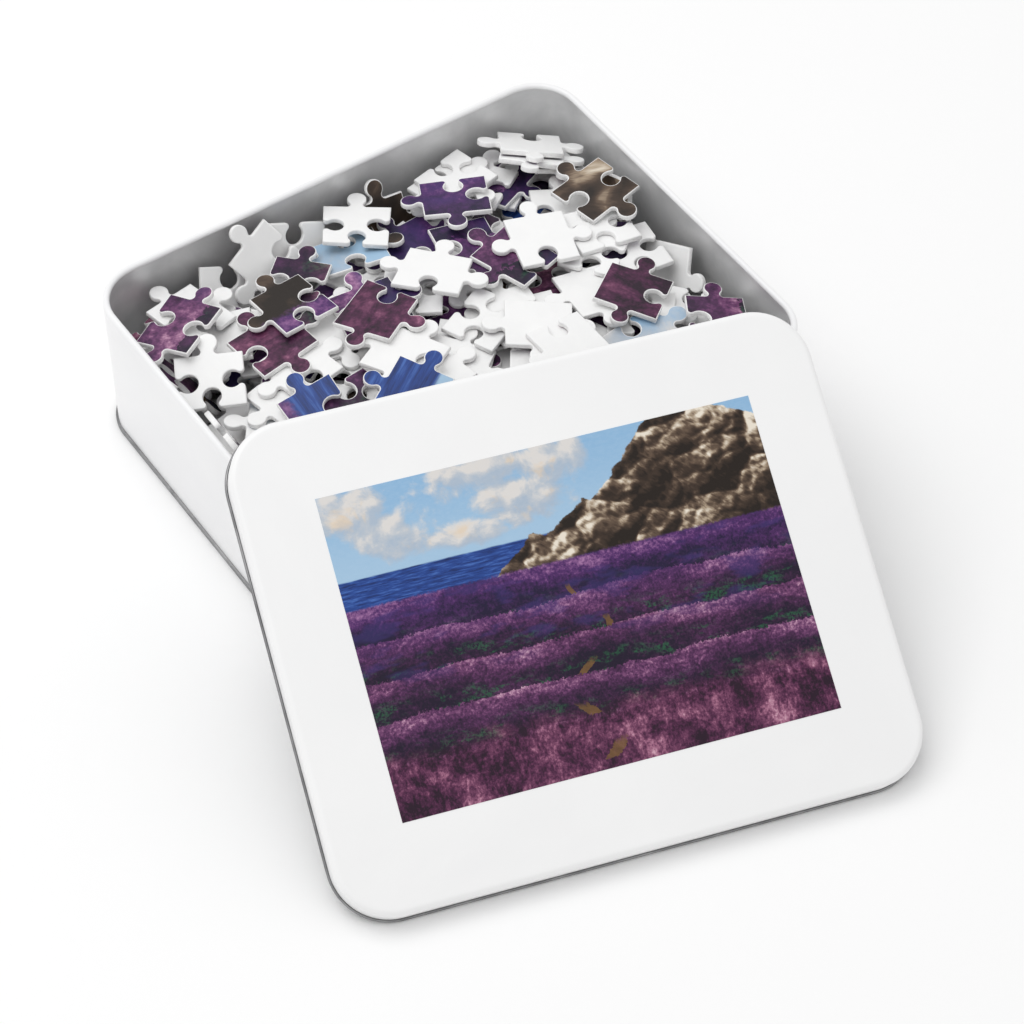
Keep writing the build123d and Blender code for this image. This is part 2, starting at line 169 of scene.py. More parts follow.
def makeLandscapeGroup():
    # a painted view: sky and clouds, a strip of sea, a rocky mountain, rows of purple flowers
    group, tree, given, result = newGroup(
        "landscapePicture", {"Place": ("vector", None)}, {"Colour": "colour", "Relief": "value"})
    split = tree.add("ShaderNodeSeparateXYZ", {0: given["Place"]})
    across, up = split.outputs[0], split.outputs[1]
    place = tree.stretch(given["Place"], (1.38, 1.0, 1.0))
    calc, noise, fade, mix, ramp = tree.calc, tree.noise, tree.fade, tree.mix, tree.ramp

    # sky, with two banks of cloud
    def cloudBody(at):
        parts = tree.add("ShaderNodeSeparateXYZ", {0: at})
        body = -1.0
        for centreX, centreY, reachX, reachY in (
                (0.10, 0.93, 0.16, 0.09), (0.19, 0.85, 0.13, 0.10), (0.52, 0.97, 0.22, 0.08),
                (0.60, 0.87, 0.16, 0.10), (0.70, 0.95, 0.17, 0.09), (0.42, 0.79, 0.14, 0.05)):
            dx = calc("DIVIDE", calc("SUBTRACT", parts.outputs[0], centreX), reachX)
            dy = calc("DIVIDE", calc("SUBTRACT", parts.outputs[1], centreY), reachY)
            far = calc("SQRT", calc("ADD", calc("MULTIPLY", dx, dx), calc("MULTIPLY", dy, dy)))
            body = calc("MAXIMUM", body, calc("SUBTRACT", 1.0, far))
        puffs = tree.add("ShaderNodeTexVoronoi", {"Vector": at, "Scale": 15.0, "Smoothness": 0.6},
                         feature="SMOOTH_F1").outputs["Distance"]
        ragged = calc("MULTIPLY", calc("SUBTRACT", noise(at, 7.0, 6.0, 0.62, 0.3), 0.5), 1.9)
        return calc("SUBTRACT", calc("ADD", body, ragged), calc("MULTIPLY", puffs, 0.5))

    body = cloudBody(place)
    litBody = calc("SUBTRACT", body, cloudBody(tree.shift(place, (-0.016, 0.022, 0.0))))
    cloudShare = fade(body, -0.24, 0.16)
    brush = noise(tree.stretch(place, (1.0, 2.2, 1.0)), 42.0, 3.0, 0.7, 0.8)
    blue = mix(fade(up, 0.72, 1.0), rgb(0.34, 0.52, 0.70), rgb(0.22, 0.42, 0.65))
    blue = mix(calc("MULTIPLY", brush, 0.5), blue, rgb(0.44, 0.60, 0.76))
    cloud = ramp(calc("ADD", calc("MULTIPLY", litBody, 1.4), 0.5), [
        (0.20, rgb(0.36, 0.45, 0.56)), (0.50, rgb(0.46, 0.51, 0.57)), (0.85, rgb(0.70, 0.67, 0.64))])
    warm = calc("MULTIPLY", fade(noise(place, 9.0, 3.0, 0.6, 0.5), 0.52, 0.66), fade(body, 0.0, 0.45))
    cloud = mix(calc("MULTIPLY", warm, 0.6), cloud, rgb(0.76, 0.56, 0.34))
    cloud = mix(calc("MULTIPLY", brush, 0.25), cloud, rgb(0.74, 0.76, 0.79))
    sky = mix(cloudShare, blue, cloud)

    # sea
    swell = noise(tree.stretch(place, (1.0, 9.0, 1.0)), 16.0, 4.0, 0.65, 0.3)
    sea = ramp(swell, [(0.30, rgb(0.008, 0.018, 0.09)), (0.52, rgb(0.018, 0.06, 0.27)),
                       (0.72, rgb(0.07, 0.17, 0.50))])
    seaShare = fade(calc("ADD", up, calc("MULTIPLY", swell, 0.006)), 0.738, 0.733)
    scenery = mix(seaShare, sky, sea)

    # mountain: a main peak with shoulders, lit from the upper left
    wobble = calc("MULTIPLY", calc("SUBTRACT", noise(place, 11.0, 6.0, 0.62), 0.5), 0.075)

    def peak(centre, top, leftFall, rightFall):
        beside = calc("SUBTRACT", across, centre)
        fall = calc("MAXIMUM", calc("MULTIPLY", beside, rightFall), calc("MULTIPLY", beside, -leftFall))
        return calc("SUBTRACT", top, fall)

    skyline = peak(0.80, 1.06, 1.25, 0.55)
    for shape in ((0.57, 0.81, 0.85, 0.8), (0.445, 0.745, 1.0, 0.7), (0.93, 0.96, 0.9, 1.0)):
        skyline = calc("MAXIMUM", skyline, peak(*shape))
    belowSkyline = calc("SUBTRACT", calc("ADD", skyline, wobble), up)
    rockShare = calc("MULTIPLY", fade(belowSkyline, -0.002, 0.004),
                     fade(calc("ADD", up, calc("MULTIPLY", wobble, 0.4)), 0.628, 0.645))

    def crags(at):
        # cones that meet in creases, large and small, broken up by noise
        bent = calc("MULTIPLY", calc("SUBTRACT", noise(at, 7.0, 3.0, 0.55), 0.5), 0.10)
        at = tree.add("ShaderNodeVectorMath", {0: at, 1: tree.add(
            "ShaderNodeCombineXYZ", {0: bent, 1: calc("MULTIPLY", bent, -0.6)}).outputs[0]},
            operation="ADD").outputs[0]
        height = 0.0
        for size, share in ((6.0, 0.85), (15.0, 0.20), (36.0, 0.05)):
            cones = tree.add("ShaderNodeTexVoronoi", {"Vector": tree.stretch(at, (1.0, 1.35, 1.0)),
                                                      "Scale": size, "Randomness": 1.0})
            height = calc("ADD", height, calc("MULTIPLY", cones.outputs["Distance"], -share))
        return height

    slopeLight = calc("SUBTRACT", crags(place), crags(tree.shift(place, (-0.010, 0.009, 0.0))))
    slanted = tree.add("ShaderNodeVectorRotate", {"Vector": place, "Angle": 0.75}, rotation_type="Z_AXIS")
    strokes = noise(tree.stretch(slanted.outputs[0], (0.35, 1.0, 1.0)), 70.0, 3.0, 0.7, 0.5)
    rockLight = tree.total(calc("MULTIPLY", slopeLight, 3.3), calc("MULTIPLY", strokes, 0.42), 0.20)
    snow = calc("MULTIPLY", fade(up, 0.80, 1.0), 0.10)
    edgeLight = calc("MULTIPLY", fade(belowSkyline, 0.035, 0.0), 0.16)
    rock = ramp(tree.total(rockLight, snow, edgeLight), [
        (0.26, rgb(0.016, 0.010, 0.007)), (0.44, rgb(0.050, 0.031, 0.021)),
        (0.56, rgb(0.13, 0.086, 0.058)), (0.66, rgb(0.40, 0.31, 0.22)), (0.80, rgb(0.80, 0.73, 0.62))])
    scenery = mix(rockShare, scenery, rock)

    # flower field: rows that rise to a pale crest and fall into shade
    swells = noise(tree.stretch(place, (1.0, 2.4, 1.0)), 2.6, 5.0, 0.6)
    roll = calc("MULTIPLY", calc("SUBTRACT", swells, 0.5), 0.17)
    ground = calc("ADD", up, calc("MULTIPLY", roll, 0.45))
    fringe = noise(tree.stretch(place, (1.0, 0.8, 1.0)), 95.0, 3.0, 0.7)
    depth = calc("SUBTRACT", 0.655, calc("ADD", ground, calc("MULTIPLY", fringe, 0.035)))
    row = calc("FRACT", calc("DIVIDE", calc("POWER", calc("MAXIMUM", depth, 0.0), 0.92), 0.125))
    tuft = noise(tree.stretch(place, (1.0, 1.15, 1.0)), 30.0, 5.0, 0.72, 0.5)
    petals = noise(tree.stretch(place, (1.0, 0.85, 1.0)), 120.0, 2.0, 0.75)
    patches = noise(tree.stretch(place, (1.0, 3.0, 1.0)), 3.4, 4.0, 0.6)
    tone = tree.total(calc("MULTIPLY", calc("SUBTRACT", petals, 0.5), 0.9),
                      calc("MULTIPLY", calc("SUBTRACT", tuft, 0.5), 1.1),
                      calc("MULTIPLY", calc("SUBTRACT", patches, 0.5), 1.3),
                      fade(row, 0.85, 0.05, 0.14, 0.62))
    bloom = ramp(tone, [
        (0.05, rgb(0.012, 0.006, 0.022)), (0.28, rgb(0.036, 0.011, 0.042)),
        (0.50, rgb(0.080, 0.022, 0.082)), (0.68, rgb(0.17, 0.055, 0.15)),
        (0.85, rgb(0.36, 0.17, 0.29)), (1.0, rgb(0.62, 0.38, 0.50))])
    violet = mix(fade(up, 0.42, 0.62, 0.0, 0.75), bloom,
                 ramp(tone, [(0.1, rgb(0.014, 0.008, 0.045)), (0.55, rgb(0.075, 0.022, 0.14)),
                             (0.95, rgb(0.30, 0.13, 0.33))]))
    leaves = noise(tree.stretch(place, (0.7, 1.6, 1.0)), 15.0, 4.0, 0.7, 0.4)
    leafShare = calc("MULTIPLY", fade(leaves, 0.50, 0.62),
                     calc("MULTIPLY", fade(row, 0.35, 0.8), fade(petals, 0.38, 0.58)))
    leafShare = calc("MULTIPLY", leafShare, fade(up, 0.60, 0.42))
    violet = mix(calc("MULTIPLY", leafShare, 0.8), violet, rgb(0.016, 0.10, 0.045))
    blueShare = calc("MULTIPLY", fade(noise(tree.stretch(place, (1.0, 3.0, 1.0)), 4.6, 3.0, 0.6), 0.50, 0.62),
                     fade(up, 0.34, 0.46))
    violet = mix(calc("MULTIPLY", blueShare, 0.45), violet, rgb(0.045, 0.030, 0.16))
    # tall flower spikes in front
    stems = noise(tree.stretch(place, (1.0, 0.42, 1.0)), 58.0, 4.0, 0.72, 0.6)
    clumps = noise(place, 7.0, 4.0, 0.6, 0.4)
    front = ramp(tree.total(calc("MULTIPLY", stems, 0.7), 0.13,
                            calc("MULTIPLY", calc("SUBTRACT", clumps, 0.5), 1.5),
                            calc("MULTIPLY", calc("SUBTRACT", tuft, 0.5), 0.5),
                            calc("MULTIPLY", calc("SUBTRACT", petals, 0.5), 0.5)), [
        (0.30, rgb(0.020, 0.006, 0.018)), (0.46, rgb(0.075, 0.016, 0.055)),
        (0.60, rgb(0.16, 0.046, 0.105)), (0.74, rgb(0.36, 0.14, 0.23)), (0.92, rgb(0.62, 0.36, 0.45))])
    frontShare = fade(calc("ADD", ground, calc("MULTIPLY", stems, 0.10)), 0.27, 0.20)
    field = mix(frontShare, violet, front)
    # a path that shows here and there
    bend = calc("MULTIPLY", calc("SINE", calc("MULTIPLY", up, 19.0)), 0.045)
    beside = calc("ABSOLUTE", calc("SUBTRACT", across, tree.total(bend, 0.45, calc("MULTIPLY", up, 0.14))))
    pathWidth = fade(up, 0.60, 0.0, 0.010, 0.036)
    pathShare = calc("MULTIPLY", calc("LESS_THAN", beside, calc("MULTIPLY", pathWidth, tuft)),
                     fade(row, 0.62, 0.80))
    earth = mix(strokes, rgb(0.06, 0.028, 0.012), rgb(0.26, 0.14, 0.045))
    field = mix(calc("MULTIPLY", pathShare, 0.8), field, earth)

    fieldTop = calc("SUBTRACT", up, calc("MULTIPLY", calc("SUBTRACT", fringe, 0.5), 0.02))
    fieldShare = fade(fieldTop, 0.648, 0.638)
    whole = mix(fieldShare, scenery, field)
    tree.plug(result["Colour"], whole)
    tree.plug(result["Relief"], calc("ADD", brush, calc("MULTIPLY", petals, fieldShare)))
    return group


grainGroup = makeGrainGroup()
landscapeGroup = makeLandscapeGroup()
print("shared effects made")


# finishes: shades, roughness, grain and bump
finishes = {
    "lacquer": dict(light=rgb(0.90, 0.90, 0.905), dark=rgb(0.87, 0.87, 0.88), smooth=0.30, rough=0.40,
                    grain=0.0005, drift=0.05, bump=0.05, depth=0.00003),
    "lidLacquer": dict(light=rgb(0.905, 0.905, 0.905), dark=rgb(0.88, 0.88, 0.882), smooth=0.38, rough=0.48,
                       grain=0.0007, drift=0.06, bump=0.10, depth=0.00005),
    # the wide gap between light and dark gives blotches that are partly the metal's own mottling and partly
    # painted reflection of dark smudges
    "tinplate": dict(light=rgb(0.86, 0.86, 0.865), dark=rgb(0.72, 0.725, 0.73), smooth=0.28, rough=0.48,
                     grain=0.0012, drift=0.020, bump=0.06, depth=0.00004),
    # bare metal darkened far below bare tinplate: painted shade for the lid's hem bead and the tin's foot
    # seam, which sit near the floor
    "rawEdge": dict(light=rgb(0.34, 0.34, 0.345), dark=rgb(0.20, 0.20, 0.205), smooth=0.32, rough=0.48,
                    grain=0.0008, drift=0.012, bump=0.1, depth=0.00004),
    "cardBack": dict(light=rgb(0.925, 0.925, 0.92), dark=rgb(0.90, 0.90, 0.897), smooth=0.45, rough=0.6,
                     grain=0.0004, drift=0.010, bump=0.06, depth=0.00003),
    "cardSide": dict(light=rgb(0.94, 0.935, 0.93), dark=rgb(0.87, 0.865, 0.86), smooth=0.6, rough=0.8,
                     grain=0.00025, drift=0.0012, bump=0.3, depth=0.00008),
}


def grainedMaterial(name, wanted, **shaderValues):
    material, tree, shader = newMaterial(name, **shaderValues)
    place = tree.add("ShaderNodeTexCoord").outputs["Object"]
    grain = tree.add("ShaderNodeGroup", node_tree=grainGroup)
    values = {"Place": place, "Grain Size": wanted["grain"], "Drift Size": wanted["drift"],
              "Light": wanted["light"], "Dark": wanted["dark"],
              "Smooth": wanted["smooth"], "Rough": wanted["rough"]}
    for label, value in values.items():
        tree.plug(grain.inputs[label], value)
    bump = tree.add("ShaderNodeBump", {"Strength": wanted["bump"], "Distance": wanted["depth"],
                                       "Height": grain.outputs["Height"]})
    tree.plug(shader.inputs["Base Color"], grain.outputs["Colour"])
    tree.plug(shader.inputs["Roughness"], grain.outputs["Roughness"])
    tree.plug(shader.inputs["Normal"], bump.outputs[0])
    return material


def pictureMaterial(name, roughness, bumpStrength, **shaderValues):
    material, tree, shader = newMaterial(name, **shaderValues)
    place = tree.add("ShaderNodeUVMap", uv_map="picturePlace").outputs[0]
    picture = tree.add("ShaderNodeGroup", {0: place}, node_tree=landscapeGroup)
    fine = tree.noise(tree.add("ShaderNodeTexCoord").outputs["Object"], 1800.0, 2.0, 0.6)
    tree.plug(shader.inputs["Base Color"], picture.outputs["Colour"])
    low, high = roughness
    tree.plug(shader.inputs["Roughness"], tree.fade(fine, 0.3, 0.7, low, high))
    height = tree.calc("ADD", tree.calc("MULTIPLY", fine, 0.5), picture.outputs["Relief"])
    bump = tree.add("ShaderNodeBump", {"Strength": bumpStrength, "Distance": 0.00004, "Height": height})
    tree.plug(shader.inputs["Normal"], bump.outputs[0])
    return material


whiteLacquer = grainedMaterial("whiteLacquer", finishes["lacquer"],
                               **{"Coat Weight": 0.2, "Coat Roughness": 0.2})
lidLacquer = grainedMaterial("lidLacquer", finishes["lidLacquer"],
                             **{"Coat Weight": 0.12, "Coat Roughness": 0.3})
bareTinplate = grainedMaterial("bareTinplate", finishes["tinplate"], Metallic=0.4)
# its dark base colour is painted shade at the hem bead and the foot seam
rawEdge = grainedMaterial("rawEdge", finishes["rawEdge"], Metallic=0.8)
cardBack = grainedMaterial("cardBack", finishes["cardBack"])
cardSide = grainedMaterial("cardSide", finishes["cardSide"])
printedFront = pictureMaterial("printedFront", (0.38, 0.50), 0.06, **{"Specular IOR Level": 0.4})
printedLid = pictureMaterial("printedLid", (0.48, 0.62), 0.10, **{"Specular IOR Level": 0.25})
print("finishes made")


def newPiece(name, vertices, faces, materials, faceMaterials, body, smooth=True, closed=True):
    mesh = bpy.data.meshes.new(name)
    mesh.from_pydata([tuple(v) for v in vertices], [], faces)
    for material in materials:
        mesh.materials.append(material)
    mesh.polygons.foreach_set("material_index", faceMaterials)
    mesh.polygons.foreach_set("use_smooth", [smooth] * len(faces))
    if closed:
        # turn every face outwards
        shell = bmesh.new()
        shell.from_mesh(mesh)
        bmesh.ops.recalc_face_normals(shell, faces=shell.faces)
        shell.to_mesh(mesh)
        shell.free()
    mesh.update()
    piece = bpy.data.objects.new(name, mesh)
    bpy.context.scene.collection.objects.link(piece)
    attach(piece, body)
    return piece


def roundedRectangle(length, width, corner, steps):
    # anticlockwise points, with as many of them whatever the size
    points = []
    for quarter in range(4):
        signX, signY = ((1, 1), (-1, 1), (-1, -1), (1, -1))[quarter]
        for step in range(steps + 1):
            angle = (quarter + step / steps) * math.pi / 2
            points.append((signX * (length / 2 - corner) + corner * math.cos(angle),
                           signY * (width / 2 - corner) + corner * math.sin(angle)))
    return points


def arcPoints(centre, radius, start, end, count):
    # (out, up) points on an arc, angles in degrees
    result = []
    for step in range(count + 1):
        angle = math.radians(start + (end - start) * step / count)
        result.append((centre[0] + radius * math.cos(angle), centre[1] + radius * math.sin(angle)))
    return result


def sweepRound(outline, profile, place, closed=False, capped=()):
    # sweeps a profile of (out, up, material) round a rounded rectangle; outline is its length,
    # width, corner and steps, and closed joins the profile's ends
    length, width, corner, steps = outline
    vertices, faces, faceMaterials = [], [], []
    for out, up, _ in profile:
        ring = roundedRectangle(length + 2 * out, width + 2 * out, corner + out, steps)
        vertices += [place @ Vector((x, y, up)) for x, y in ring]
    around = 4 * (steps + 1)
    pairs = [(k, k + 1) for k in range(len(profile) - 1)]
    if closed:
        pairs.append((len(profile) - 1, 0))
    for first, second in pairs:
        for k in range(around):
            after = (k + 1) % around
            faces.append((first * around + k, first * around + after,
                          second * around + after, second * around + k))
            faceMaterials.append(profile[first][2])
    for ring, material, flip in capped:
        loop = list(range(ring * around, (ring + 1) * around))
        faces.append(loop[::-1] if flip else loop)
        faceMaterials.append(material)
    return vertices, faces, faceMaterials


def paint(points, material):
    return [(out, up, material) for out, up in points]


level = Matrix.Identity(4)

# tin body: one sheet, its rim rolled inwards, lacquered outside and bare inside
# footRing and rimRing are where the wall's shading rings lie, above its foot and below its roll
tin = {"corner": 0.018, "sheet": 0.0003, "rimRoll": 0.0024, "rollTurn": 285.0, "cornerSteps": 20,
       "footRing": 0.0015, "rimRing": 0.004}


def makeTin():
    low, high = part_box("tin_body")
    length, width = high.x - low.x, high.y - low.y
    radius = tin["rimRoll"] / 2
    centre = (-radius, high.z - radius)
    inner = radius - tin["sheet"]
    white, bare = 0, 1
    footRing, rimRing = low.z + tin["footRing"], centre[1] - tin["rimRing"]
    profile = paint([(0.0, low.z), (0.0, footRing), (0.0, rimRing)], white)
    profile += paint(arcPoints(centre, radius, 0, tin["rollTurn"], 26), white)
    profile += paint(arcPoints(centre, inner, tin["rollTurn"], 0, 20), bare)
    profile += paint([(-tin["sheet"], rimRing), (-tin["sheet"], footRing), (-tin["sheet"], low.z)], bare)
    shape = sweepRound((length, width, tin["corner"], tin["cornerSteps"]), profile, level, closed=True)
    piece = newPiece("tinBody", shape[0], shape[1], [whiteLacquer, bareTinplate], shape[2],
                     "tin")
    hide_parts("tin_body")
    return length, width


tinLength, tinWidth = makeTin()

# tin base: a folded seam round the foot and a panel with a raised middle
base = {"seamProud": 0.0009, "seamWidth": 0.0016, "seamRound": 0.0003, "panelLift": 0.0007,
        "panelBorder": 0.007, "step": 0.0003, "lastRing": 0.03}


def makeBase():
    low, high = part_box("tin_base")
    top = high.z
    outer, inner = base["seamProud"], base["seamProud"] - base["seamWidth"]
    r = base["seamRound"]
    seam = (arcPoints((outer - r, low.z + r), r, -90, 0, 4) + arcPoints((outer - r, top - r), r, 0, 90, 4)
            + arcPoints((inner + r, top - r), r, 90, 180, 4)
            + arcPoints((inner + r, low.z + r), r, 180, 270, 4))
    outline = (tinLength, tinWidth, tin["corner"], tin["cornerSteps"])
    # the foot seam takes the darkened metal: painted shade where it meets the floor
    vertices, faces, faceMaterials = sweepRound(outline, paint(seam, 0), level, closed=True)
    lift, step, border = base["panelLift"], base["step"], base["panelBorder"]
    sheet = tin["sheet"]
    edge = -sheet
    panel = [(edge, lift), (-border + sheet, lift), (-border, lift + 0.4 * step),
             (-border - sheet, lift + step), (-base["lastRing"], lift + step)]
    above = [(out, up + sheet) for out, up in reversed(panel)]
    # from the middle of the underside out to the edge, and back over the top
    panel = paint(panel[::-1] + above[::-1], 0)
    panelShape = sweepRound(outline, panel, level, capped=[(0, 0, True), (len(panel) - 1, 0, False)])
    start = len(vertices)
    vertices += panelShape[0]
    faces += [tuple(start + k for k in face) for face in panelShape[1]]
    faceMaterials = faceMaterials + [1] * len(panelShape[1])
    piece = newPiece("tinBase", vertices, faces, [rawEdge, bareTinplate], faceMaterials, "tin")
    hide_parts("tin_base")


makeBase()
print("tin made")

# lid: its plane comes from its printed picture and its hinge
# topRings are shading rings in from the lid's edge, skirtRings below its bend and above its hem
lid = {"play": 0.0009, "depth": 0.0104, "edgeRadius": 0.0022, "hemRoll": 0.0012, "hemTurn": 285.0,
       "printFilm": 0.0001, "topRings": (0.012, 0.0045, 0.0027), "skirtRings": (0.001, 0.0012, 0.0003)}


def lidPlace():
    node = frame["nodes"]["lid_print"]
    points = np.array([v.co for v in node.data.vertices])
    middle = (points.min(axis=0) + points.max(axis=0)) / 2
    hinge = next(joint for joint in frame["joints"] if joint["name"] == "lid_tilt")
    along = Vector(hinge["axis"]).normalized()
    _, vectors = np.linalg.eigh(np.cov((points - points.mean(axis=0)).T))
    facing = Vector(vectors[:, 0])
    facing = facing if facing.z > 0 else -facing
    uphill = facing.cross(along).normalized()
    reaches = [points @ np.array(axis) for axis in (along, uphill)]
    sizes = [reach.max() - reach.min() for reach in reaches]
    place = Matrix((along, uphill, facing)).transposed().to_4x4()
    place.translation = Vector(middle) - facing * lid["printFilm"] / 2
    return place, sizes


lidAt, printSize = lidPlace()


def makeLid():
    sheet, depth, bend, hem = tin["sheet"], lid["depth"], lid["edgeRadius"], lid["hemRoll"] / 2
    grow = 2 * (lid["play"] + sheet)
    outline = (tinLength + grow, tinWidth + grow, tin["corner"] + grow / 2, tin["cornerSteps"])
    white, bare, hemInShade = 0, 1, 2
    hemLevel = hem - depth
    belowBend, aboveHem, atHem = lid["skirtRings"]
    skirtTop = -bend - belowBend
    profile = paint([(-ring, 0.0) for ring in lid["topRings"]], white)
    profile += paint(arcPoints((-bend, -bend), bend, 90, 0, 8), white)
    profile += paint([(0.0, skirtTop), (0.0, hemLevel + aboveHem), (0.0, hemLevel + atHem)], white)
    # the hem rolls outwards: the sheet's outer side is inside the roll
    middle = (hem - sheet, hemLevel)
    # the hem bead's metal is darkened: painted shade near the floor
    profile += paint(arcPoints(middle, hem - sheet, 180, 180 + lid["hemTurn"], 10), hemInShade)
    profile += paint(arcPoints(middle, hem, 180 + lid["hemTurn"], 180, 18), hemInShade)
    profile += paint([(-sheet, hemLevel + atHem), (-sheet, skirtTop)], bare)
    profile += paint(arcPoints((-bend, -bend), bend - sheet, 0, 90, 8), bare)
    profile += paint([(-ring, -sheet) for ring in reversed(lid["topRings"])], bare)
    last = len(profile) - 1
    shape = sweepRound(outline, profile, lidAt, capped=[(0, white, False), (last, bare, True)])
    piece = newPiece("lidShell", shape[0], shape[1], [lidLacquer, bareTinplate, rawEdge], shape[2],
                     "lid")
    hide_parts("lid_shell")


makeLid()


def makeLidPrint():
    # a thin printed film, a grid of faces with the picture laid over it
    countX, countY = 24, 18
    halfX, halfY = printSize[0] / 2, printSize[1] / 2
    film = lid["printFilm"]
    vertices, faces = [], []
    for row in range(countY + 1):
        for column in range(countX + 1):
            x, y = column / countX, row / countY
            vertices.append(lidAt @ Vector(((2 * x - 1) * halfX, (2 * y - 1) * halfY, film)))
    for row in range(countY):
        for column in range(countX):
            k = row * (countX + 1) + column
            faces.append((k, k + 1, k + countX + 2, k + countX + 1))
    # the film's thin edge
    rim = ([k for k in range(countX + 1)]
           + [row * (countX + 1) + countX for row in range(1, countY + 1)]
           + [countY * (countX + 1) + k for k in range(countX - 1, -1, -1)]
           + [row * (countX + 1) for row in range(countY - 1, 0, -1)])
    down = lidAt.to_3x3() @ Vector((0, 0, -film))
    start = len(vertices)
    vertices += [vertices[k] + down for k in rim]
    for k in range(len(rim)):
        after = (k + 1) % len(rim)
        faces.append((rim[after], rim[k], start + k, start + after))
    faces.append(tuple(range(start + len(rim) - 1, start - 1, -1)))
    piece = newPiece("lidPicture", vertices, faces, [printedLid], [0] * len(faces),
                     "lid", smooth=False)
    places = piece.data.uv_layers.new(name="picturePlace")
    toLid = lidAt.inverted()
    for loop in piece.data.loops:
        at = toLid @ piece.data.vertices[loop.vertex_index].co
        places.data[loop.index].uv = (at.x / printSize[0] + 0.5, at.y / printSize[1] + 0.5)
    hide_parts("lid_print")


makeLidPrint()
print("lid made")

# puzzle pieces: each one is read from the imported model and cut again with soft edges
puzzle = {"columns": 25, "rows": 16, "frontRound": 0.00036, "backRound": 0.00032, "seed": 5,
          "frontUp": 0.46, "tolerance": 0.00002, "pieceLength": 0.0208, "pieceHeight": 0.0235,
          "fieldRows": 10, "mountainColumn": 12,
          "fieldShare": 0.75, "firstUpperLayer": 13, "faceRing": 0.0004}
draw = random.Random(puzzle["seed"])


def solidsOf(node):
    # the node's separate solids, as (points, triangles) with shared points joined
    mesh = node.data
    mesh.calc_loop_triangles()
    points = np.empty(len(mesh.vertices) * 3, np.float64)
    mesh.vertices.foreach_get("co", points)
    points = points.reshape(-1, 3)
    triangles = np.empty(len(mesh.loop_triangles) * 3, np.int32)
    mesh.loop_triangles.foreach_get("vertices", triangles)
    whole = np.round(points * 1e7).astype(np.int64)
    _, first, same = np.unique(whole, axis=0, return_index=True, return_inverse=True)
    points, triangles = points[first], same.reshape(-1)[triangles].reshape(-1, 3)
    label = np.arange(len(points))
    while True:
        lowest = label[triangles].min(axis=1)
        before = label.copy()
        for side in range(3):
            np.minimum.at(label, triangles[:, side], lowest)
        label = label[label]
        if (label == before).all():
            break
    owners = label[triangles[:, 0]]
    return [(points, triangles[owners == owner]) for owner in np.unique(owners)]


def outlineOf(points, triangles):
    # a piece's outer line on one face, in order, with the face's outward direction and the thickness
    corners = points[triangles]
    normals = np.cross(corners[:, 1] - corners[:, 0], corners[:, 2] - corners[:, 0])
    areas = np.linalg.norm(normals, axis=1)
    _, axes = np.linalg.eigh(normals.T @ (normals / np.maximum(areas, 1e-15)[:, None]))
    axis = axes[:, 2] * (1 if axes[2, 2] > 0 else -1)
    flat = (normals @ axis) > 0.98 * areas
    axis = normals[flat].sum(axis=0)
    axis /= np.linalg.norm(axis)
    face = triangles[(normals @ axis) > 0.999 * areas]
    edges = {(a, b) for t in face for a, b in ((t[0], t[1]), (t[1], t[2]), (t[2], t[0]))}
    onward = {a: b for a, b in edges if (b, a) not in edges}
    start = min(onward)
    loop, at = [start], onward[start]
    while at != start:
        loop.append(at)
        at = onward[at]
    heights = points[np.unique(triangles)] @ axis
    return points[loop], axis, heights.max() - heights.min()


def thinned(line, tolerance):
    # drops points that lie almost on the line between their neighbours
    for _ in range(2):
        kept, k = [], 0
        while k < len(line):
            kept.append(line[k])
            before, here, after = line[k], line[(k + 1) % len(line)], line[(k + 2) % len(line)]
            along = after - before
            off = abs(along[0] * (here[1] - before[1]) - along[1] * (here[0] - before[0]))
            far = math.hypot(along[0], along[1])
            k += 2 if far < 0.003 and off < tolerance * far and k + 1 < len(line) else 1
        line = np.array(kept)
    return line


def insets(line):
    # each point's way inwards, longer at a corner
    before, after = np.roll(line, 1, axis=0), np.roll(line, -1, axis=0)
    sides = []
    for a, b in ((before, line), (line, after)):
        way = (b - a) / np.maximum(np.linalg.norm(b - a, axis=1), 1e-12)[:, None]
        sides.append(np.column_stack([-way[:, 1], way[:, 0]]))
    middle = sides[0] + sides[1]
    middle /= np.maximum(np.linalg.norm(middle, axis=1), 1e-9)[:, None]
    share = np.maximum((middle * sides[0]).sum(axis=1), 0.55)
    return middle / share[:, None]


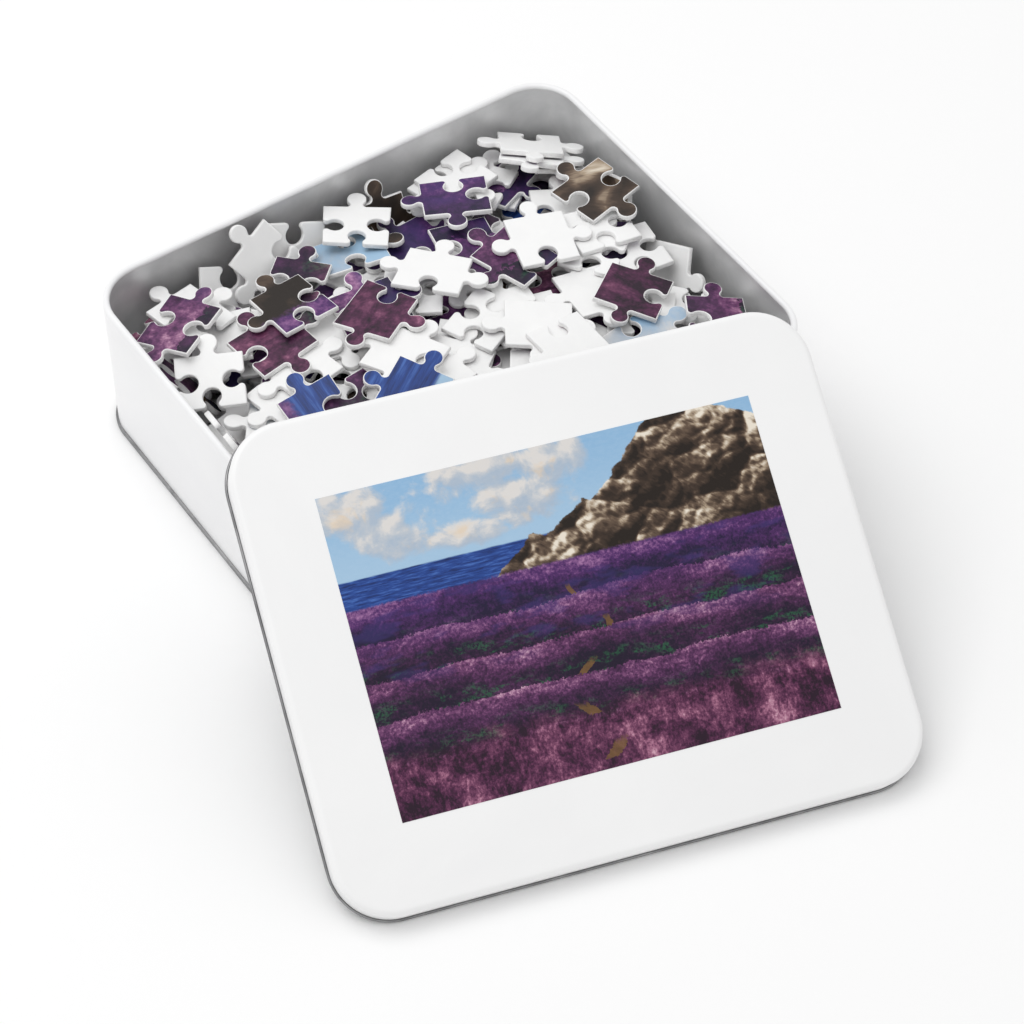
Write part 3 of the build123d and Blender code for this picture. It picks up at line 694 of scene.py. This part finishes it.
def cutPiece(points, triangles, isTop):
    line, axis, thickness = outlineOf(points, triangles)
    flatX = np.cross(axis, (0.0, 0.0, 1.0)) if abs(axis[2]) < 0.95 else np.cross((0.0, 1.0, 0.0), axis)
    flatX /= np.linalg.norm(flatX)
    flatY = np.cross(axis, flatX)
    origin = line.mean(axis=0)
    flat = thinned(np.column_stack([(line - origin) @ flatX, (line - origin) @ flatY]), puzzle["tolerance"])
    # the piece's own directions, from its straight sides
    step = np.roll(flat, -1, axis=0) - flat
    lengths = np.linalg.norm(step, axis=1)
    angles = np.arctan2(step[:, 1], step[:, 0])
    straight = lengths > 0.002
    turn = np.angle((lengths * np.exp(4j * angles))[straight].sum()) / 4 if straight.any() else 0.0
    inward = insets(flat)
    printUp = draw.random() < puzzle["frontUp"]
    cell = (draw.randrange(puzzle["columns"]), draw.randrange(puzzle["rows"]))
    inSky = cell[1] > puzzle["fieldRows"] and cell[0] < puzzle["mountainColumn"]
    if isTop and inSky and draw.random() < puzzle["fieldShare"]:
        # most prints on top show the flowers or the mountain
        cell = (cell[0], draw.randrange(puzzle["fieldRows"]))
    quarter = turn + draw.randrange(4) * math.pi / 2
    fr, br = puzzle["frontRound"], puzzle["backRound"]
    # (inset, depth below the upper face, material of the band down to the next)
    front = [(fr + puzzle["faceRing"], 0.0, 0), (fr, 0.0, 1), (0.55 * fr, 0.10 * fr, 1),
             (0.2 * fr, 0.42 * fr, 1), (0.0, fr, 1)]
    back = [(0.0, thickness - br, 1), (0.25 * br, thickness - 0.3 * br, 2), (br, thickness, 2),
            (br + puzzle["faceRing"], thickness, 2)]
    if not printUp:
        front, back = ([(i, thickness - z, m) for i, z, m in reversed(back)],
                       [(i, thickness - z, m) for i, z, m in reversed(front)])
        front = [(i, z, 2) if z < thickness / 2 and i > 0 else (i, z, m) for i, z, m in front]
        back = [(i, z, 1) if i < fr + 0.0002 else (i, z, 0) for i, z, m in back]
    bands = front + back
    count = len(flat)
    vertices, faces, materials = [], [], []
    for inset, depth, _ in bands:
        ring = flat + inward * inset
        vertices.append(origin + ring[:, :1] * flatX + ring[:, 1:] * flatY - axis * depth)
    for k in range(len(bands) - 1):
        for j in range(count):
            after = (j + 1) % count
            faces.append((k * count + j, (k + 1) * count + j, (k + 1) * count + after, k * count + after))
            materials.append(0 if bands[k][2] == 0 or bands[k + 1][2] == 0 and k + 2 == len(bands)
                             else bands[k][2])
    top = 0 if printUp else 2
    faces.append(tuple(range(count)))
    materials.append(top)
    last = (len(bands) - 1) * count
    faces.append(tuple(range(last + count - 1, last - 1, -1)))
    materials.append(2 - top)
    flipped = 1 if printUp else -1
    ring = np.vstack([flat + inward * inset for inset, _, _ in bands]) * (flipped, 1)
    cos, sin = math.cos(quarter), math.sin(quarter)
    local = np.column_stack([ring[:, 0] * cos + ring[:, 1] * sin, ring[:, 1] * cos - ring[:, 0] * sin])
    places = np.column_stack([(cell[0] + 0.5 + local[:, 0] / puzzle["pieceLength"]) / puzzle["columns"],
                              (cell[1] + 0.5 + local[:, 1] / puzzle["pieceHeight"]) / puzzle["rows"]])
    return np.vstack(vertices), faces, materials, places


def makePuzzle():
    total = 0
    for nodeName in sorted(name for name in frame["nodes"] if name.startswith(("heap_", "top_piece_"))):
        isTop = nodeName.startswith("top_piece_") or int(nodeName[-2:]) >= puzzle["firstUpperLayer"]
        vertices, faces, materials, places = [], [], [], []
        start = 0
        solids = sorted(solidsOf(frame["nodes"][nodeName]), key=lambda s: tuple(s[0][s[1]].mean(axis=(0, 1))))
        for points, triangles in solids:
            part = cutPiece(points, triangles, isTop)
            vertices.append(part[0])
            faces += [tuple(start + k for k in face) for face in part[1]]
            materials += part[2]
            places.append(part[3])
            start += len(part[0])
        total += len(solids)
        body = nodeName if nodeName.startswith("top_piece_") else "tin"
        words = nodeName.split("_")
        pieceName = words[0] + "".join(word.capitalize() for word in words[1:])
        piece = newPiece(pieceName, np.vstack(vertices), faces, [printedFront, cardSide, cardBack],
                         materials, body, closed=False)
        layer = piece.data.uv_layers.new(name="picturePlace")
        loops = np.empty(len(piece.data.loops), np.int32)
        piece.data.loops.foreach_get("vertex_index", loops)
        layer.data.foreach_set("uv", np.vstack(places)[loops].astype(np.float32).ravel())
        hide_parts(nodeName)
    print("puzzle pieces made:", total)


makePuzzle()

# floor, light and camera
studio = {"skyStrength": 0.74, "keyPower": 13.0, "keySize": 1.4, "keyAt": (-0.45, 0.45, 1.7)}


def makeFloor():
    size = 6.0
    corners = [(-size, -size, 0), (size, -size, 0), (size, size, 0), (-size, size, 0)]
    mesh = bpy.data.meshes.new("floor")
    mesh.from_pydata(corners, [], [(0, 1, 2, 3)])
    floor = bpy.data.objects.new("floor", mesh)
    bpy.context.scene.collection.objects.link(floor)
    material, tree, shader = newMaterial("palePaper", Roughness=0.9)
    shader.inputs["Specular IOR Level"].default_value = 0.1
    place = tree.add("ShaderNodeTexCoord").outputs["Object"]
    tree.plug(shader.inputs["Base Color"],
              tree.mix(tree.noise(place, 3.0), rgb(0.955, 0.955, 0.955), rgb(0.945, 0.945, 0.945)))
    mesh.materials.append(material)


def makeLight(name, at, towards, size, power):
    lamp = bpy.data.lights.new(name, "AREA")
    lamp.energy, lamp.size = power, size
    light = bpy.data.objects.new(name, lamp)
    light.location = at
    light.rotation_mode = "QUATERNION"
    light.rotation_quaternion = (Vector(towards) - Vector(at)).to_track_quat("-Z", "Y")
    bpy.context.scene.collection.objects.link(light)


makeFloor()
makeLight("keyLight", studio["keyAt"], (0, 0, 0), studio["keySize"], studio["keyPower"])
world = bpy.data.worlds.new("studio")
world.use_nodes = True
world.node_tree.nodes["Background"].inputs["Color"].default_value = rgb(1.0, 1.0, 1.0)
world.node_tree.nodes["Background"].inputs["Strength"].default_value = studio["skyStrength"]
bpy.context.scene.world = world
bpy.context.scene.view_settings.view_transform = "Standard"

view = {"at": (-0.39325, -0.60092, 0.81567), "azimuth": 34.96, "down": 50.26, "roll": 0.466, "lens": 107.18}


def makeCamera():
    turn, down, roll = (math.radians(view[key]) for key in ("azimuth", "down", "roll"))
    forward = Vector((math.sin(turn) * math.cos(down), math.cos(turn) * math.cos(down), -math.sin(down)))
    level = Vector((math.cos(turn), -math.sin(turn), 0))
    upright = level.cross(forward)
    right = level * math.cos(roll) + upright * math.sin(roll)
    up = right.cross(forward)
    data = bpy.data.cameras.new("camera")
    data.lens, data.sensor_width = view["lens"], 36.0
    data.clip_start, data.clip_end = 0.05, 20.0
    camera = bpy.data.objects.new("camera", data)
    place = Matrix((right, up, -forward)).transposed().to_4x4()
    place.translation = Vector(view["at"])
    camera.matrix_world = place
    bpy.context.scene.collection.objects.link(camera)
    bpy.context.scene.camera = camera


makeCamera()
print("studio made")
